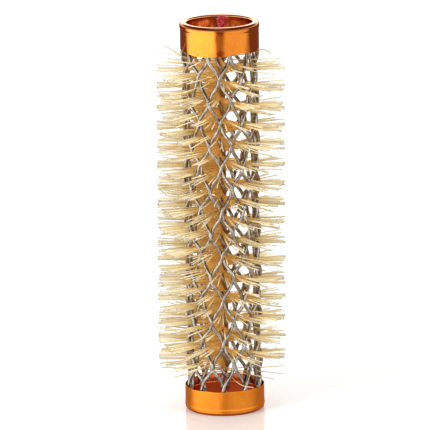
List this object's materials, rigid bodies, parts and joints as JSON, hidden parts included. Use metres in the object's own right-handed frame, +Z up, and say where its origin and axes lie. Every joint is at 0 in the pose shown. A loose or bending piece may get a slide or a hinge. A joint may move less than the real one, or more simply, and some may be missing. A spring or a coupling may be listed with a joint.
{
  "type": "hair roller",
  "caption": "Slim hair roller: braided wire mesh tube with folded metal end rings, filled by a twisted-wire brush whose bristles stick out through the mesh.",
  "frame": {"origin": "on the tube axis at the rim plane of the lower ring, which is what the roller stands on", "axes": "+Z up along the tube axis towards the ring in whose opening the coated stem end is seen; -Y faces the pictured side, +X is its right"},
  "size_m": [0.0204, 0.0204, 0.0643],
  "materials": {
    "anodised_ring": "orange anodised, glossy with fine drawing marks",
    "mesh_wire": "tinned steel wire, dull bright",
    "stem_wire": "drawn steel wire, slightly dull",
    "tip_coating": "dipped crimson coating, glossy",
    "bristle": "cream nylon filament"
  },
  "bodies": {
    "cage": {"lower_ring": "anodised_ring", "upper_ring": "anodised_ring", "mesh_wire_r01": "mesh_wire", "mesh_wire_r02": "mesh_wire", "mesh_wire_r03": "mesh_wire", "mesh_wire_r04": "mesh_wire", "mesh_wire_r05": "mesh_wire", "mesh_wire_r06": "mesh_wire", "mesh_wire_r07": "mesh_wire", "mesh_wire_r08": "mesh_wire", "mesh_wire_r09": "mesh_wire", "mesh_wire_r10": "mesh_wire", "mesh_wire_l01": "mesh_wire", "mesh_wire_l02": "mesh_wire", "mesh_wire_l03": "mesh_wire", "mesh_wire_l04": "mesh_wire", "mesh_wire_l05": "mesh_wire", "mesh_wire_l06": "mesh_wire", "mesh_wire_l07": "mesh_wire", "mesh_wire_l08": "mesh_wire", "mesh_wire_l09": "mesh_wire", "mesh_wire_l10": "mesh_wire"},
    "brush": {"stem_wire_a": "stem_wire", "stem_wire_b": "stem_wire", "stem_tip_upper": "tip_coating", "stem_tip_lower": "tip_coating", "bristle_row_01": "bristle", "bristle_row_02": "bristle", "bristle_row_03": "bristle", "bristle_row_04": "bristle", "bristle_row_05": "bristle", "bristle_row_06": "bristle", "bristle_row_07": "bristle", "bristle_row_08": "bristle", "bristle_row_09": "bristle", "bristle_row_10": "bristle", "bristle_row_11": "bristle", "bristle_row_12": "bristle", "bristle_row_13": "bristle", "bristle_row_14": "bristle", "bristle_row_15": "bristle", "bristle_row_16": "bristle", "bristles_end_lower": "bristle", "bristles_end_upper": "bristle"}
  },
  "joints": [
    {"name": "brush_slide", "type": "slide", "parent": "cage", "child": "brush", "axis": [0, 0, 1], "range_m": [0, 0.066], "deforming": ["bristle_row_01", "bristle_row_02", "bristle_row_03", "bristle_row_04", "bristle_row_05", "bristle_row_06", "bristle_row_07", "bristle_row_08", "bristle_row_09", "bristle_row_10", "bristle_row_11", "bristle_row_12", "bristle_row_13", "bristle_row_14", "bristle_row_15", "bristle_row_16", "bristles_end_lower", "bristles_end_upper"]}
  ]
}
